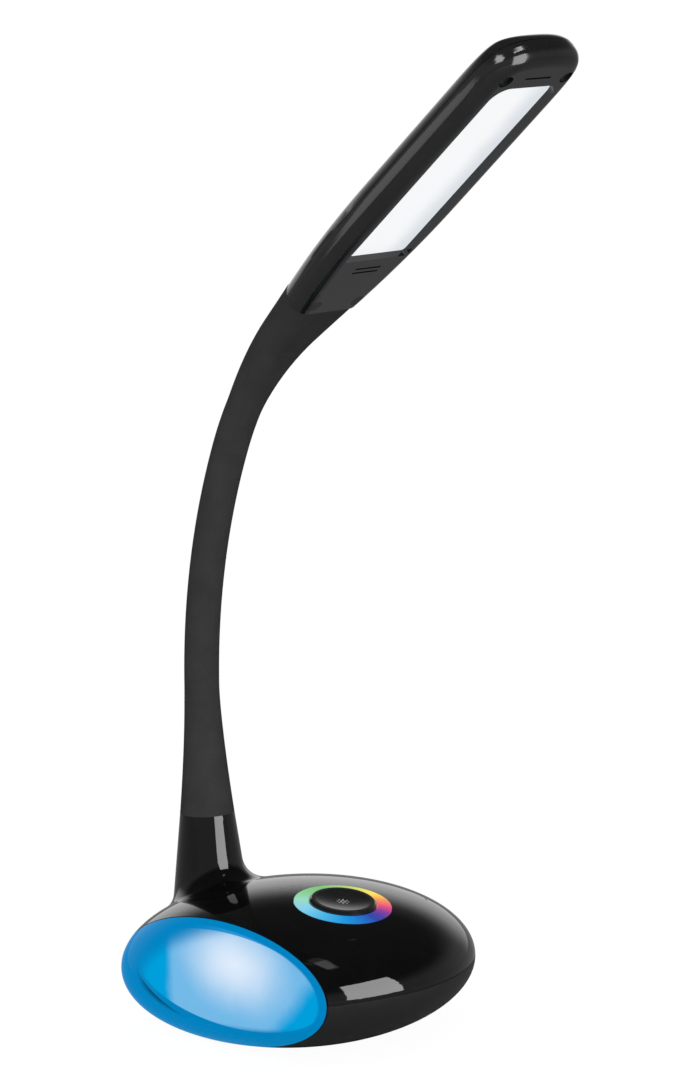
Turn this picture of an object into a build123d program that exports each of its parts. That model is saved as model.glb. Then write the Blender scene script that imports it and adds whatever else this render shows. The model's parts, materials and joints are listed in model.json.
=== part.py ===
from math import ceil, cos, radians, sin, sqrt
import os

from build123d import *

# Gooseneck desk lamp, in millimetres.
# The origin is the centre of the foot on the desk. +X is the side the head reaches over, +Z is up.

# ---- base, a flattened ball ----
base_dia = 164.0           # across the widest line
base_rise = 34.7           # from the widest line to the top
base_mid = 31.0            # height of the widest line, where the two shells part
shell_wall = 2.4
shell_floor = 1.0          # underside of the lower shell above the desk
foot_dia = 68.0
foot_thick = 2.2
foot_clearance = 0.15
foot_chamfer = 0.5
ballast_thick = 12.0
ballast_gap = 1.5          # side gap from the ballast to the shell and to the glow tray
ballast_screw_ring = 62.0
ballast_screw_start = 90.0  # degrees, keeps the screws clear of the glow tray
ballast_screw_count = 3
post_inset = 24.0          # from the base's edge to the posts that join the two shells
post_angles = (55.0, 125.0, 202.0, 340.0)
post_dia = 7.0
shell_screw_depth = 12.0   # how far the shell screws' heads sit above the desk

# ---- glow window in the -Y side ----
window_share = 0.579       # from the middle to the plane of the window, over the base's radius
gasket_thick = 0.8
gasket_inset = 0.3
gasket_depth = 2.0
gasket_gap = 0.05          # left on each face of the gasket
lens_wall = 2.4
glow_rim_side = 1.7        # from the ends of the glow panel to the tray's lip
glow_rim_top = 3.5         # from its top and bottom to the lip
glow_panel_thick = 2.0
glow_panel_setback = 2.5   # from the window plane to the panel's face
tray_share = 0.295         # depth of the tray over the window plane's distance
tray_wall = 1.6
tray_lip_gap = 0.6         # from the tray's front lip to the shells
tray_rib_spread = 70.0
tray_rib_thick = 3.0
tray_clearance = 0.1
glow_board_long = 76.0
glow_board_high = 16.0
board_thick = 1.6
glow_led_side = 5.0
glow_led_thick = 1.6
glow_led_pitch = 26.0
glow_led_count = 3

# ---- dial on top of the base ----
dial_inset = 51.0          # from the base's edge to the middle of the dial
dial_tilt = 10.1           # degrees forward
dial_dia = 44.9
dial_cup_wall = 2.0
dial_cup_depth = 4.5
dial_cup_floor = 2.0
ring_inner_dia = 32.2
ring_stand = 0.35          # how far the colour ring stands above the shell
ring_clearance = 0.15
button_dia = 31.0
button_rise = 1.1
button_lip = 2.6
button_dish = 1.1
button_thick = 3.6
button_skirt = 1.6
button_travel = 1.0
button_flange = 2.6        # how far the catch reaches past the skirt, across the diameter
button_flange_thick = 1.5
button_clearance = 0.25
button_stem_dia = 6.0
switch_side = 6.0
switch_body = 3.5
switch_tip_dia = 3.5
switch_tip = 0.9
switch_gap = 0.1           # left between the stem and the switch tip when the button is down
board_dia = 53.0
board_post_ring = 45.8
board_post_dia = 5.2
board_hole_end = 1.0       # left under the ring pocket above each board screw
ring_led_count = 6
ring_led_side = 3.5
ring_led_thick = 1.4
ring_led_hole = 4.6

# ---- power inlet at the rear ----
jack_height = 24.0
jack_nose_dia = 8.0
jack_bore_dia = 5.5
jack_pin_dia = 2.0
jack_bore_depth = 9.5
jack_body_long = 12.0
jack_body_wide = 9.0
jack_body_high = 11.0
jack_face_dia = 12.0
jack_inset = 4.5           # from the base's edge to the flat around the inlet
jack_boss_dia = 16.0
jack_boss_long = 7.0
jack_clearance = 0.1

# ---- neck ----
neck_inset = 24.1          # from the base's edge to the middle of the neck
collar_top = 93.0
collar_taper = 0.12        # growth of the collar's radius per millimetre downwards
collar_flare = 10.5        # round where the collar runs into the base
collar_plate = 6.0
neck_foot_dia = 25.6
neck_dia = 16.4
neck_foot_flare = 61.0     # length over which the foot thins to the neck
neck_foot_power = 1.5
stem_length = 49.1
lower_bend_radius = 308.4
lower_bend = 24.4          # degrees
upper_bend_radius = 152.4
upper_bend = 27.0          # degrees
boot_length = 23.4         # straight run from the upper bend to the head
boot_power = 1.3
hinge_count = 7
first_hinge = 25.0         # from the collar
last_hinge_back = 74.65    # from the head
ball_ratio = 1.15          # ball joint radius over the neck's radius
ball_gap = 0.4
ball_turn = 37.0           # degrees, keeps the seams of ball and tube surfaces apart
conduit_dia = 9.0
conduit_bore = 5.0
lead_dia = 3.6
slip = 0.1                 # clearance of a piece in the bore that holds it
station_step = 9.0         # spacing of the sections that a neck piece is drawn through
slot_ratio = 1.02          # least width over height of the boot's flat sections
ferrule_wall = 2.4
ferrule_flange_dia = 19.0
ferrule_flange_thick = 1.5
base_ferrule_long = 24.0
nut_across = 18.0
nut_thick = 6.0
lead_tail = 34.0

# ---- head ----
head_wide = 54.7
head_thick = 17.3
head_joint_wide = 39.4     # width where the boot meets the head
lower_round = 6.6
upper_round = 9.2
cover_seam = 10.4          # height of the seam above the lit side
seam_groove = 0.35         # depth and height of the fine groove along the seams
shoulder_end = 34.0        # where the head reaches its full width, past the opening's near edge
opening_setback = 38.8     # from the boot to the opening
opening_long = 119.7
opening_rim = 8.1          # from the head's side to the opening
near_corner = 2.0
far_corner = 8.0
tip_length = 19.4          # from the opening to the tip
tip_sweep = 32.1           # length of the rounded end
tip_fullness = 0.86        # 0.55 makes the rounded end an ellipse, 1 a square
frame_floor = 3.1
frame_wall = 3.9
cover_wall = 1.8
end_wall = 2.4
panel_lap = 2.0
panel_thick = 1.5
guide_thick = 3.0
sheet_thick = 0.4
spreader_thick = 1.5
layer_gap = 0.1
strip_long = 90.0
strip_thick = 1.0
panel_led_long = 3.0
panel_led_thick = 0.8
panel_led_high = 1.6
panel_led_count = 11
rib_thick = 2.0
rib_count = 3
rib_pitch = 37.0
near_screw = (-33.0, 13.2)     # along and across, from the middle of the opening's near edge
far_screw = (4.9, 18.6)        # along and across, from the middle of its far edge
near_plug_sink = 0.0
far_plug_sink = 1.8
plug_dia = 6.5
plug_bottom = 3.0
boss_dia = 8.6
screw_dia = 2.6
screw_head_dia = 5.2
board_screw_head_dia = 4.2
ballast_screw_head_dia = 10.4
screw_head_thick = 1.8
screw_long = 9.0
screw_slip = 0.15          # gap round a screw's head or shank
cross_long = 0.6           # cross recess over the head's diameter
cross_wide = 0.14
cross_deep = 0.5           # over the head's thickness
slot_long = 16.0
slot_wide = 1.1
near_slots = (-6.5, -9.4)  # vent slots before the opening's near edge
far_slot = 6.0             # vent slot past its far edge
clamp_long = 8.0
clamp_wide = 24.0
clamp_at = -16.8
clamp_screw_spread = 18.5
clamp_screw_dia = 2.0
clamp_screw_head_dia = 3.8
clamp_screw_head_thick = 1.2
clamp_screw_long = 8.0
clamp_seat = 12.0          # height of the clamp screws' seats above the lit side
head_ferrule_wall = 1.2
head_ferrule_in = 28.0
head_ferrule_out = 6.0
head_conduit_end = 2.0     # how far the conduit stands out of the ferrule
head_lead_end = 6.0        # how far the lead stands out of the conduit

# ---- worked out ----
base_radius = base_dia / 2
window_y = base_radius * window_share
tray_depth = window_y * tray_share
dial_x = base_radius - dial_inset
neck_x = base_radius - neck_inset
jack_face_x = base_radius - jack_inset
post_ring = base_radius - post_inset
inner_radius = base_radius - shell_wall
inner_rise = base_rise - shell_wall
lip_long = sqrt(inner_radius ** 2 - window_y ** 2) - tray_lip_gap
lip_high = lip_long * inner_rise / inner_radius
glow_panel_long = 2 * (lip_long - glow_rim_side)
glow_panel_high = 2 * (lip_high - glow_rim_top)
cavity_floor = foot_thick + shell_wall
neck_radius = neck_dia / 2
head_mid = head_thick / 2
head_half = head_wide / 2
opening_wide = head_wide - 2 * opening_rim
tip_at = opening_long + tip_length
conduit_radius = conduit_dia / 2
ferrule_radius = conduit_radius + slip + ferrule_wall
head_ferrule_radius = conduit_radius + slip + head_ferrule_wall
lower_arc = lower_bend_radius * radians(lower_bend)
upper_arc = upper_bend_radius * radians(upper_bend)
neck_length = stem_length + lower_arc + upper_arc + boot_length
last_hinge = neck_length - last_hinge_back
hinge_pitch = (last_hinge - first_hinge) / (hinge_count - 1)
hinge_at = [first_hinge + k * hinge_pitch for k in range(hinge_count)]


def dome_height(x, y, inset):
    # height of the base's upper surface, drawn in by inset, above a point of the desk
    across = sqrt(x * x + y * y) / (base_radius - inset)
    return base_mid + (base_rise - inset) * sqrt(max(0.0, 1 - across ** 2))


def bowl_radius(height, inset):
    # radius of the base, drawn in by inset, at a height
    up = (height - base_mid) / (base_rise - inset)
    return (base_radius - inset) * sqrt(max(0.0, 1 - up ** 2))


def neck_plane(s):
    # plane across the neck at s along its middle line from the collar; its x axis points to +Y
    turn = 0.0
    x = -neck_x
    z = collar_top + min(s, stem_length)
    past = s - stem_length
    for bend_radius, bend in ((lower_bend_radius, lower_bend), (upper_bend_radius, upper_bend)):
        if past > 0:
            step = min(past / bend_radius, radians(bend))
            x += bend_radius * (cos(turn) - cos(turn + step))
            z += bend_radius * (sin(turn + step) - sin(turn))
            turn += step
            past -= bend_radius * radians(bend)
    if past > 0:
        x += past * sin(turn)
        z += past * cos(turn)
    return Plane(origin=(x, 0, z), x_dir=(0, 1, 0), z_dir=(sin(turn), 0, cos(turn)))


def foot_radius(s):
    # sleeve radius: the foot thins smoothly into the neck
    left = max(0.0, 1 - s / neck_foot_flare)
    return neck_radius + (neck_foot_dia / 2 - neck_radius) * left ** neck_foot_power


def boot_share(s):
    return min(1.0, max(0.0, (s - last_hinge) / (neck_length - last_hinge)))


def boot_half_width(s):
    return neck_radius + (head_joint_wide / 2 - neck_radius) * boot_share(s) ** boot_power


def boot_half_height(s):
    return neck_radius + (head_mid - neck_radius) * boot_share(s)


def ball_radius(s):
    return foot_radius(s) * ball_ratio


# ---- shapes used by more than one piece ----

def base_form(inset, floor):
    # the flattened ball, drawn in by inset and cut flat at floor; its outline is two quarter ellipses
    wide = base_radius - inset
    top = base_mid + base_rise - inset
    bottom = base_mid - base_rise + inset
    quarter = (1, sqrt(0.5), 1)
    with BuildPart() as form:
        with BuildSketch(Plane.XZ):
            with BuildLine():
                Bezier((0, top), (wide, top), (wide, base_mid), weights=quarter)
                Bezier((wide, base_mid), (wide, bottom), (0, bottom), weights=quarter)
                Line((0, bottom), (0, top))
            make_face()
        revolve(axis=Axis.Z)
        split(bisect_by=Plane.XY.offset(floor), keep=Keep.TOP)
    return form.part


def tray_form(side_gap):
    # outside of the glow tray
    with BuildPart() as form:
        with BuildSketch(Plane.XZ.offset(tray_back)):
            with Locations((0, base_mid)):
                Ellipse(
                    glow_panel_long / 2 + tray_wall + side_gap,
                    glow_panel_high / 2 + tray_wall + side_gap,
                )
        extrude(amount=tray_depth)
    return form.part


def stations(start, end):
    # evenly spaced places along the middle line, both ends included
    steps = max(2, ceil((end - start) / station_step))
    return [start + (end - start) * k / steps for k in range(steps + 1)]


def round_run(start, end, radius_at):
    # solid of round section along the neck's middle line
    with BuildPart() as form:
        for s in stations(start, end):
            with BuildSketch(neck_plane(s)):
                Circle(radius_at(s))
        loft()
    return form.part


def boot_run(start, end):
    # the sleeve's top: from round at the last hinge to the head's flat section
    with BuildPart() as form:
        for s in stations(start, end):
            high = 2 * boot_half_height(s)
            with BuildSketch(neck_plane(s)):
                SlotOverall(max(2 * boot_half_width(s), high * slot_ratio), high)
        loft()
    return form.part


def ball_end(s, reach):
    # everything on the near side of a hinge, rounded off by its ball
    with BuildPart() as form:
        with Locations(neck_plane(s)):
            Sphere(ball_radius(s), rotation=(0, 0, ball_turn))
            Cylinder(2 * neck_foot_dia, reach, align=(Align.CENTER, Align.CENTER, Align.MAX))
    return form.part


def ball_seat(s):
    # the ball of a hinge with its gap, cut out of the next piece
    with BuildPart() as form:
        with Locations(neck_plane(s)):
            Sphere(ball_radius(s) + ball_gap, rotation=(0, 0, ball_turn))
    return form.part


def neck_span(index, tail, nose):
    # where a neck piece starts and ends along the middle line
    start = -tail if index == 0 else hinge_at[index - 1]
    end = neck_length + nose if index == hinge_count else hinge_at[index] + ball_radius(hinge_at[index])
    return start, end


def fitted_between_balls(blank, index, start, end):
    # a neck piece, ended by the balls of the hinges below and above it
    with BuildPart() as form:
        add(blank)
        if index < hinge_count:
            add(ball_end(hinge_at[index], end - start), mode=Mode.INTERSECT)
        if index > 0:
            add(ball_seat(hinge_at[index - 1]), mode=Mode.SUBTRACT)
    return form.part


def shifted(plane, x, y):
    # the same plane, moved within itself
    origin = plane.origin + plane.x_dir * x + plane.y_dir * y
    return Plane(origin=origin, x_dir=plane.x_dir, z_dir=plane.z_dir)


def screw(head_dia, head_thick, shank_dia, length, at):
    # pan head at the plane, shank running along its normal
    with BuildPart() as form:
        with BuildSketch(at):
            Circle(head_dia / 2)
        extrude(amount=head_thick)
        with BuildSketch(at):
            Circle(shank_dia / 2)
        extrude(amount=head_thick + length)
        with BuildSketch(at):
            Rectangle(head_dia * cross_long, head_dia * cross_wide)
            Rectangle(head_dia * cross_wide, head_dia * cross_long)
        extrude(amount=head_thick * cross_deep, mode=Mode.SUBTRACT)
    return form.part


def export(form, name):
    form.label = name
    export_step(form, f"parts/{name}.step")


os.makedirs("parts", exist_ok=True)

# ==== base ====
post_points = [(post_ring * cos(radians(a)), post_ring * sin(radians(a))) for a in post_angles]
tray_back = window_y - glow_panel_setback - tray_depth
tray_rib_long = tray_depth - tray_wall - tray_clearance
dial_top = dome_height(dial_x, 0, 0)
dial_normal = (sin(radians(dial_tilt)), 0, cos(radians(dial_tilt)))
dial_plane = Plane(origin=(dial_x, 0, dial_top), x_dir=(0, 1, 0), z_dir=dial_normal)
cup_bottom = dial_cup_depth + dial_cup_floor
button_hole = button_dia + 2 * button_clearance
stem_end = cup_bottom
switch_top = stem_end + button_travel + switch_gap
board_top = switch_top + switch_tip + switch_body
board_post_angles = (0, 120, 240)
board_post_points = [
    (board_post_ring / 2 * cos(radians(a)), board_post_ring / 2 * sin(radians(a))) for a in board_post_angles
]
ring_led_ring = (dial_dia + ring_inner_dia) / 4
jack_plane = Plane(origin=(-jack_face_x, 0, jack_height), x_dir=(0, 1, 0), z_dir=(-1, 0, 0))
collar_foot_radius = neck_foot_dia / 2 + (collar_top - base_mid) * collar_taper

with BuildPart() as base_upper_shell:
    add(base_form(0, shell_floor))
    with Locations((-neck_x, 0, base_mid)):
        Cone(
            collar_foot_radius, neck_foot_dia / 2, collar_top - base_mid,
            align=(Align.CENTER, Align.CENTER, Align.MIN),
        )
    fillet(base_upper_shell.edges(Select.NEW), collar_flare)
    add(base_form(shell_wall, shell_floor), mode=Mode.SUBTRACT)
    with Locations((-neck_x, 0, base_mid)):
        Cone(
            collar_foot_radius - shell_wall,
            neck_foot_dia / 2 + collar_plate * collar_taper - shell_wall,
            collar_top - collar_plate - base_mid,
            align=(Align.CENTER, Align.CENTER, Align.MIN),
            mode=Mode.SUBTRACT,
        )
    with Locations((-neck_x, 0, collar_top)):
        Cylinder(
            ferrule_radius + slip, 2 * collar_plate,
            align=(Align.CENTER, Align.CENTER, Align.CENTER), mode=Mode.SUBTRACT,
        )
    split(bisect_by=Plane.XY.offset(base_mid), keep=Keep.TOP)
    split(bisect_by=Plane.XZ.offset(window_y - gasket_thick / 2), keep=Keep.BOTTOM)
    # cup under the dial, with its light holes and the button's hole
    with BuildSketch(dial_plane.offset(-cup_bottom)):
        Circle(dial_dia / 2 + ring_clearance + dial_cup_wall)
    extrude(amount=cup_bottom - shell_wall)
    with BuildSketch(dial_plane.offset(-dial_cup_depth)):
        Circle(dial_dia / 2 + ring_clearance)
    extrude(amount=2 * dial_cup_depth, mode=Mode.SUBTRACT)
    with BuildSketch(dial_plane.offset(-cup_bottom)):
        Circle(button_hole / 2)
        with PolarLocations(ring_led_ring, ring_led_count, start_angle=180 / ring_led_count):
            Circle(ring_led_hole / 2)
    extrude(amount=cup_bottom, mode=Mode.SUBTRACT)
    # posts that carry the control board
    with BuildSketch(dial_plane.offset(-board_top)):
        with Locations(*board_post_points):
            Circle(board_post_dia / 2)
    extrude(amount=board_top - dial_cup_depth)
    with BuildSketch(dial_plane.offset(-board_top)):
        with Locations(*board_post_points):
            Circle(screw_dia / 2 + slip)
    extrude(amount=board_top - dial_cup_depth - board_hole_end, mode=Mode.SUBTRACT)
    # fine groove along the seam of the shells
    with BuildSketch(Plane.XY.offset(base_mid)):
        Circle(base_radius + shell_wall)
        Circle(base_radius - seam_groove, mode=Mode.SUBTRACT)
    extrude(amount=seam_groove, mode=Mode.SUBTRACT)
    # posts for the shell screws
    for x, y in post_points:
        with BuildSketch(Plane.XY.offset(base_mid)):
            with Locations((x, y)):
                Circle(post_dia / 2)
        extrude(amount=dome_height(x, y, shell_wall / 2) - base_mid)
    with BuildSketch(Plane.XY.offset(base_mid)):
        with Locations(*post_points):
            Circle(screw_dia / 2 + slip)
    extrude(amount=screw_long, mode=Mode.SUBTRACT)
export(base_upper_shell.part, "base_upper_shell")

with BuildPart() as base_lower_shell:
    add(base_form(0, shell_floor))
    add(base_form(shell_wall, cavity_floor), mode=Mode.SUBTRACT)
    # recess for the foot
    with BuildSketch(Plane.XY.offset(shell_floor)):
        Circle(foot_dia / 2 + foot_clearance)
    extrude(amount=foot_thick - shell_floor, mode=Mode.SUBTRACT)
    # bosses for the ballast and the shell screws
    with BuildSketch(Plane.XY.offset(cavity_floor - shell_wall / 2)):
        with PolarLocations(ballast_screw_ring / 2, ballast_screw_count, start_angle=ballast_screw_start):
            Circle(post_dia / 2)
    extrude(amount=ballast_thick / 2 + shell_wall / 2)
    with BuildSketch(Plane.XY.offset(cavity_floor)):
        with PolarLocations(ballast_screw_ring / 2, ballast_screw_count, start_angle=ballast_screw_start):
            Circle(screw_dia / 2 + slip)
    extrude(amount=ballast_thick / 2, mode=Mode.SUBTRACT)
    for x, y in post_points:
        foot_height = 2 * base_mid - dome_height(x, y, shell_wall / 2)
        with BuildSketch(Plane.XY.offset(foot_height)):
            with Locations((x, y)):
                Circle(post_dia / 2)
        extrude(amount=base_mid - foot_height)
    with BuildSketch(Plane.XY):
        with Locations(*post_points):
            Circle(screw_head_dia / 2 + screw_slip)
    extrude(amount=shell_screw_depth + screw_head_thick, mode=Mode.SUBTRACT)
    with BuildSketch(Plane.XY):
        with Locations(*post_points):
            Circle(screw_dia / 2 + slip)
    extrude(amount=base_mid, mode=Mode.SUBTRACT)
    # ribs that hold the glow tray up
    for side in (-1, 1):
        with BuildSketch(Plane.XY.offset(cavity_floor)):
            with Locations((side * tray_rib_spread / 2, -tray_back - tray_rib_long / 2)):
                Rectangle(tray_rib_thick, tray_rib_long)
        extrude(amount=base_mid - cavity_floor)
    add(base_form(0, shell_floor), mode=Mode.INTERSECT)
    add(tray_form(tray_clearance), mode=Mode.SUBTRACT)
    # boss, flat and hole for the power inlet
    with BuildSketch(jack_plane.offset(-jack_boss_long)):
        Circle(jack_boss_dia / 2)
    extrude(amount=jack_boss_long)
    with BuildSketch(jack_plane):
        Circle(jack_face_dia / 2)
    extrude(amount=base_radius, mode=Mode.SUBTRACT)
    with BuildSketch(jack_plane.offset(-jack_boss_long)):
        Circle(jack_nose_dia / 2 + jack_clearance)
    extrude(amount=jack_boss_long, mode=Mode.SUBTRACT)
    split(bisect_by=Plane.XY.offset(base_mid), keep=Keep.BOTTOM)
    split(bisect_by=Plane.XZ.offset(window_y - gasket_thick / 2), keep=Keep.BOTTOM)
export(base_lower_shell.part, "base_lower_shell")

with BuildPart() as foot_pad:
    Cylinder(foot_dia / 2, foot_thick, align=(Align.CENTER, Align.CENTER, Align.MIN))
    chamfer(foot_pad.edges().group_by(Axis.Z)[0], foot_chamfer)
export(foot_pad.part, "foot_pad")

ballast_radius = bowl_radius(cavity_floor, shell_wall) - ballast_gap
with BuildPart() as ballast_plate:
    with BuildSketch(Plane.XY.offset(cavity_floor)):
        Circle(ballast_radius)
    extrude(amount=ballast_thick)
    with BuildSketch(Plane.XY.offset(cavity_floor)):
        with PolarLocations(ballast_screw_ring / 2, ballast_screw_count, start_angle=ballast_screw_start):
            Circle(post_dia / 2 + screw_slip)
    extrude(amount=ballast_thick / 2, mode=Mode.SUBTRACT)
    with BuildSketch(Plane.XY.offset(cavity_floor)):
        with PolarLocations(ballast_screw_ring / 2, ballast_screw_count, start_angle=ballast_screw_start):
            Circle(screw_dia / 2 + screw_slip)
    extrude(amount=ballast_thick, mode=Mode.SUBTRACT)
    split(bisect_by=Plane.XZ.offset(tray_back - tray_wall - ballast_gap), keep=Keep.BOTTOM)
export(ballast_plate.part, "ballast_plate")

ballast_top = cavity_floor + ballast_thick
with BuildPart() as ballast_screws:
    for k in range(ballast_screw_count):
        angle = radians(ballast_screw_start + 360 * k / ballast_screw_count)
        spot = (
            ballast_screw_ring / 2 * cos(angle),
            ballast_screw_ring / 2 * sin(angle),
            ballast_top + screw_head_thick,
        )
        add(screw(
            ballast_screw_head_dia, screw_head_thick, screw_dia, screw_long, Plane(spot, z_dir=(0, 0, -1)),
        ))
export(ballast_screws.part, "ballast_screws")

with BuildPart() as shell_screws:
    for x, y in post_points:
        spot = Plane((x, y, shell_screw_depth))
        add(screw(
            screw_head_dia, screw_head_thick, screw_dia, base_mid - shell_screw_depth + screw_long / 2, spot,
        ))
export(shell_screws.part, "shell_screws")

with BuildPart() as glow_lens:
    add(base_form(0, shell_floor))
    add(base_form(lens_wall, shell_floor), mode=Mode.SUBTRACT)
    split(bisect_by=Plane.XZ.offset(window_y + gasket_thick / 2), keep=Keep.TOP)
export(glow_lens.part, "glow_lens")

gasket_long = sqrt((base_radius - gasket_inset) ** 2 - (window_y + gasket_thick / 2) ** 2)
gasket_high = gasket_long * (base_rise - gasket_inset) / (base_radius - gasket_inset)
with BuildPart() as lens_gasket:
    with BuildSketch(Plane.XZ.offset(window_y - gasket_thick / 2 + gasket_gap)):
        with Locations((0, base_mid)):
            Ellipse(gasket_long, gasket_high)
            Ellipse(gasket_long - gasket_depth, gasket_high - gasket_depth, mode=Mode.SUBTRACT)
    extrude(amount=gasket_thick - 2 * gasket_gap)
export(lens_gasket.part, "lens_gasket")

with BuildPart() as glow_panel:
    with BuildSketch(Plane.XZ.offset(tray_back + tray_depth - glow_panel_thick)):
        with Locations((0, base_mid)):
            Ellipse(glow_panel_long / 2 - tray_clearance, glow_panel_high / 2 - tray_clearance)
    extrude(amount=glow_panel_thick)
export(glow_panel.part, "glow_panel")

with BuildPart() as glow_tray:
    add(tray_form(0))
    with BuildSketch(Plane.XZ.offset(tray_back + tray_depth - tray_wall)):
        with Locations((0, base_mid)):
            Ellipse(lip_long, lip_high)
    extrude(amount=tray_wall)
    with BuildSketch(Plane.XZ.offset(tray_back + tray_wall)):
        with Locations((0, base_mid)):
            Ellipse(glow_panel_long / 2 - tray_wall, glow_panel_high / 2 - tray_wall)
    extrude(amount=tray_depth, mode=Mode.SUBTRACT)
    with BuildSketch(Plane.XZ.offset(tray_back + tray_depth - glow_panel_thick)):
        with Locations((0, base_mid)):
            Ellipse(glow_panel_long / 2, glow_panel_high / 2)
    extrude(amount=glow_panel_thick, mode=Mode.SUBTRACT)
export(glow_tray.part, "glow_tray")

glow_board_face = tray_back + tray_wall + board_thick
with BuildPart() as glow_led_board:
    with BuildSketch(Plane.XZ.offset(tray_back + tray_wall)):
        with Locations((0, base_mid)):
            Rectangle(glow_board_long, glow_board_high)
    extrude(amount=board_thick)
export(glow_led_board.part, "glow_led_board")

with BuildPart() as glow_leds:
    with BuildSketch(Plane.XZ.offset(glow_board_face)):
        with Locations((0, base_mid)):
            with GridLocations(glow_led_pitch, 1, glow_led_count, 1):
                Rectangle(glow_led_side, glow_led_side)
    extrude(amount=glow_led_thick)
export(glow_leds.part, "glow_leds")

with BuildPart() as colour_ring:
    with BuildSketch(dial_plane.offset(-dial_cup_depth)):
        Circle(dial_dia / 2)
        Circle(ring_inner_dia / 2, mode=Mode.SUBTRACT)
    extrude(amount=2 * dial_cup_depth)
    add(base_form(-ring_stand, shell_floor), mode=Mode.INTERSECT)
export(colour_ring.part, "colour_ring")

with BuildPart() as control_board:
    with BuildSketch(dial_plane.offset(-board_top - board_thick)):
        Circle(board_dia / 2)
        with Locations(*board_post_points):
            Circle(screw_dia / 2 + slip, mode=Mode.SUBTRACT)
    extrude(amount=board_thick)
export(control_board.part, "control_board")

with BuildPart() as board_screws:
    for x, y in board_post_points:
        spot = shifted(dial_plane.offset(-board_top - board_thick - screw_head_thick), x, y)
        add(screw(
            board_screw_head_dia, screw_head_thick, screw_dia, board_thick + board_top - cup_bottom, spot,
        ))
export(board_screws.part, "board_screws")

with BuildPart() as ring_leds:
    with BuildSketch(dial_plane.offset(-board_top)):
        with PolarLocations(ring_led_ring, ring_led_count, start_angle=180 / ring_led_count):
            Rectangle(ring_led_side, ring_led_side)
    extrude(amount=ring_led_thick)
export(ring_leds.part, "ring_leds")

with BuildPart() as tact_switch:
    with BuildSketch(dial_plane.offset(-board_top)):
        Rectangle(switch_side, switch_side)
    extrude(amount=switch_body)
    with BuildSketch(dial_plane.offset(-board_top + switch_body)):
        Circle(switch_tip_dia / 2)
    extrude(amount=switch_tip)
export(tact_switch.part, "tact_switch")

# the button is turned: a dished cap on a skirt, a catch below the cup's floor and a middle stem
button_radius = button_dia / 2
flange_top = cup_bottom + slip
dish_radius = button_radius - button_lip
dish_ball = (dish_radius ** 2 + button_dish ** 2) / (2 * button_dish)
flange_bottom = flange_top + button_flange_thick
button_under = button_thick - button_rise
with BuildPart() as dial_button:
    with BuildSketch(dial_plane.offset(-button_under)):
        Circle(button_radius)
    extrude(amount=button_thick)
    chamfer(dial_button.faces().sort_by(Axis(dial_plane.origin, dial_plane.z_dir))[-1].edges(), button_dish)
    with Locations(dial_plane.offset(button_rise - button_dish + dish_ball)):
        Sphere(dish_ball, mode=Mode.SUBTRACT)
    with BuildSketch(dial_plane.offset(-flange_bottom)):
        Circle(button_radius)
        Circle(button_radius - button_skirt, mode=Mode.SUBTRACT)
    extrude(amount=flange_bottom - button_under)
    with BuildSketch(dial_plane.offset(-flange_bottom)):
        Circle(button_radius + button_flange / 2)
        Circle(button_radius - button_skirt, mode=Mode.SUBTRACT)
    extrude(amount=button_flange_thick)
    with BuildSketch(dial_plane.offset(-stem_end)):
        Circle(button_stem_dia / 2)
    extrude(amount=stem_end - button_under)
export(dial_button.part, "dial_button")

with BuildPart() as dc_jack:
    with BuildSketch(jack_plane.offset(-jack_boss_long)):
        Circle(jack_nose_dia / 2)
    extrude(amount=jack_boss_long)
    with BuildSketch(jack_plane.offset(-jack_boss_long - jack_body_long)):
        Rectangle(jack_body_wide, jack_body_high)
    extrude(amount=jack_body_long)
    with BuildSketch(jack_plane.offset(-jack_bore_depth)):
        Circle(jack_bore_dia / 2)
        Circle(jack_pin_dia / 2, mode=Mode.SUBTRACT)
    extrude(amount=jack_bore_depth, mode=Mode.SUBTRACT)
export(dc_jack.part, "dc_jack")

with BuildPart() as base_ferrule:
    with BuildSketch(Plane.XY.offset(collar_top - base_ferrule_long)):
        with Locations((-neck_x, 0)):
            Circle(ferrule_radius)
    extrude(amount=base_ferrule_long)
    with BuildSketch(Plane.XY.offset(collar_top)):
        with Locations((-neck_x, 0)):
            Circle(ferrule_flange_dia / 2)
    extrude(amount=ferrule_flange_thick)
    with BuildSketch(Plane.XY.offset(collar_top - base_ferrule_long)):
        with Locations((-neck_x, 0)):
            Circle(conduit_radius + slip)
    extrude(amount=base_ferrule_long + ferrule_flange_thick, mode=Mode.SUBTRACT)
export(base_ferrule.part, "base_ferrule")

with BuildPart() as base_nut:
    with BuildSketch(Plane.XY.offset(collar_top - collar_plate - nut_thick)):
        with Locations((-neck_x, 0)):
            RegularPolygon(nut_across / 2, 6, major_radius=False)
            Circle(ferrule_radius + slip, mode=Mode.SUBTRACT)
    extrude(amount=nut_thick)
export(base_nut.part, "base_nut")

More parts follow.
